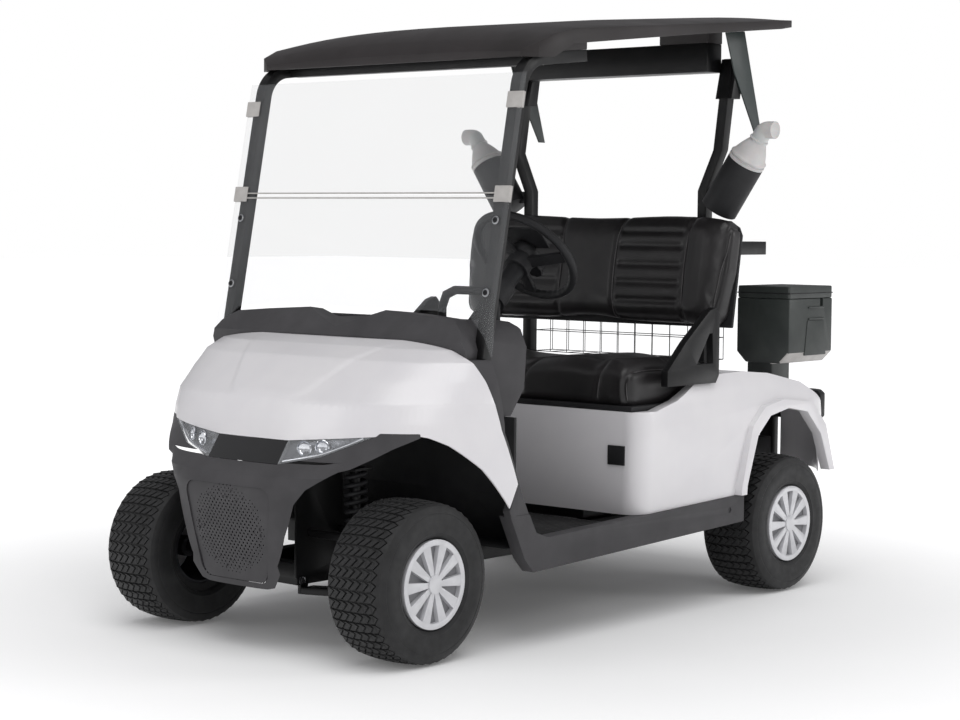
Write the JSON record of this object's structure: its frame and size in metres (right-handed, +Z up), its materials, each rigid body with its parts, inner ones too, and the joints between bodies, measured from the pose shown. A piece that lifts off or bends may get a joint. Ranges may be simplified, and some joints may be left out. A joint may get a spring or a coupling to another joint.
{
  "type": "golf cart",
  "caption": "Two-seat electric golf cart with canopy roof, folding windshield, bench seat, dash trays, rear bag tray and side cooler, rolling and steering on four small tyres.",
  "frame": {"origin": "on the ground, under the middle of the cart's outer box", "axes": "+X forward, +Y to the driver's side (left), +Z up"},
  "size_m": [2.335, 1.2818, 1.8679],
  "materials": {
    "frame_paint": "satin black powder coat",
    "moulded_black": "moulded black polypropylene",
    "ribbed_rubber": "ribbed rubber",
    "pearl_body": "pearl white gloss",
    "gloss_black": "gloss black",
    "lamp_glass": "clear lens",
    "charcoal_moulding": "charcoal grained moulding",
    "soft_black": "soft-touch black",
    "black_vinyl": "grained marine vinyl",
    "clear_sheet": "clear acrylic sheet",
    "grey_clip": "light grey clip",
    "roof_plastic": "warm dark grey, fine grain",
    "green_grey_plate": "dark green-grey satin",
    "bottle_white": "milky polyethylene",
    "tail_red": "red lens",
    "cooler_green": "dark green-grey moulding",
    "bare_steel": "dark coated iron",
    "tyre_rubber": "tyre rubber",
    "silver_cover": "silver wheel cover"
  },
  "bodies": {
    "chassis": {"bag_rack": "frame_paint", "bag_tray": "moulded_black", "basket": "moulded_black", "battery_pack": "moulded_black", "bottle_holders": "moulded_black", "charge_port": "moulded_black", "chassis_frame": "frame_paint", "coil_springs": "frame_paint", "cooler_box": "cooler_green", "dampers": "frame_paint", "dash": "charcoal_moulding", "floor_mat": "ribbed_rubber", "floor_pan": "moulded_black", "front_arms": "frame_paint", "front_fascia": "charcoal_moulding", "front_struts": "frame_paint", "grab_handle": "soft_black", "grille": "charcoal_moulding", "headlamps": "lamp_glass", "hip_restraints": "charcoal_moulding", "hood": "pearl_body", "leaf_springs": "frame_paint", "nose_panel": "gloss_black", "pedals": "bare_steel", "rear_axle": "bare_steel", "rear_beam": "frame_paint", "rear_body": "pearl_body", "rear_bumper": "moulded_black", "rear_pillars": "frame_paint", "rockers": "charcoal_moulding", "roof": "roof_plastic", "roof_fins": "green_grey_plate", "sand_bottles": "bottle_white", "seat_back": "black_vinyl", "seat_back_shell": "moulded_black", "steering_column": "moulded_black", "tail_lamps": "tail_red", "windshield": "clear_sheet", "windshield_clips": "grey_clip"},
    "knuckle_left": {"knuckle_left": "bare_steel"},
    "knuckle_right": {"knuckle_right": "bare_steel"},
    "front_left_wheel": {"tyre_front_left": "tyre_rubber", "wheel_front_left": "silver_cover"},
    "front_right_wheel": {"tyre_front_right": "tyre_rubber", "wheel_front_right": "silver_cover"},
    "rear_left_wheel": {"tyre_rear_left": "tyre_rubber", "wheel_rear_left": "silver_cover"},
    "rear_right_wheel": {"tyre_rear_right": "tyre_rubber", "wheel_rear_right": "silver_cover"},
    "steering_wheel": {"steering_wheel": "soft_black"},
    "seat_bottom": {"seat_cushion": "black_vinyl", "seat_pan": "moulded_black"},
    "cooler_lid": {"cooler_lid": "cooler_green"}
  },
  "joints": [
    {"name": "steering_turn", "type": "hinge", "parent": "chassis", "child": "steering_wheel", "pos_m": [0.2085, 0.27, 1.09], "axis": [-0.7385, 0, 0.6743], "range_deg": [-420, 420]},
    {"name": "left_steer", "type": "hinge", "parent": "chassis", "child": "knuckle_left", "pos_m": [0.9115, 0.34, 0.222], "axis": [0, 0, 1], "range_deg": [-35, 35]},
    {"name": "right_steer", "type": "hinge", "parent": "chassis", "child": "knuckle_right", "pos_m": [0.9115, -0.34, 0.222], "axis": [0, 0, 1], "range_deg": [-35, 35]},
    {"name": "front_left_spin", "type": "hinge", "parent": "knuckle_left", "child": "front_left_wheel", "pos_m": [0.9115, 0.451, 0.222], "axis": [0, 1, 0], "continuous": true},
    {"name": "front_right_spin", "type": "hinge", "parent": "knuckle_right", "child": "front_right_wheel", "pos_m": [0.9115, -0.451, 0.222], "axis": [0, 1, 0], "continuous": true},
    {"name": "rear_left_spin", "type": "hinge", "parent": "chassis", "child": "rear_left_wheel", "pos_m": [-0.7575, 0.498, 0.222], "axis": [0, 1, 0], "continuous": true},
    {"name": "rear_right_spin", "type": "hinge", "parent": "chassis", "child": "rear_right_wheel", "pos_m": [-0.7575, -0.498, 0.222], "axis": [0, 1, 0], "continuous": true},
    {"name": "seat_lift", "type": "hinge", "parent": "chassis", "child": "seat_bottom", "pos_m": [0.0395, 0, 0.6283], "axis": [0, 1, 0], "range_deg": [0, 65]},
    {"name": "cooler_lid_lift", "type": "hinge", "parent": "chassis", "child": "cooler_lid", "pos_m": [-0.8885, 0.382, 0.9483], "axis": [1, 0, 0], "range_deg": [0, 85]}
  ],
  "couplings": [
    {"joint": "left_steer", "follows": "steering_turn", "ratio": 0.083333},
    {"joint": "right_steer", "follows": "steering_turn", "ratio": 0.083333}
  ]
}
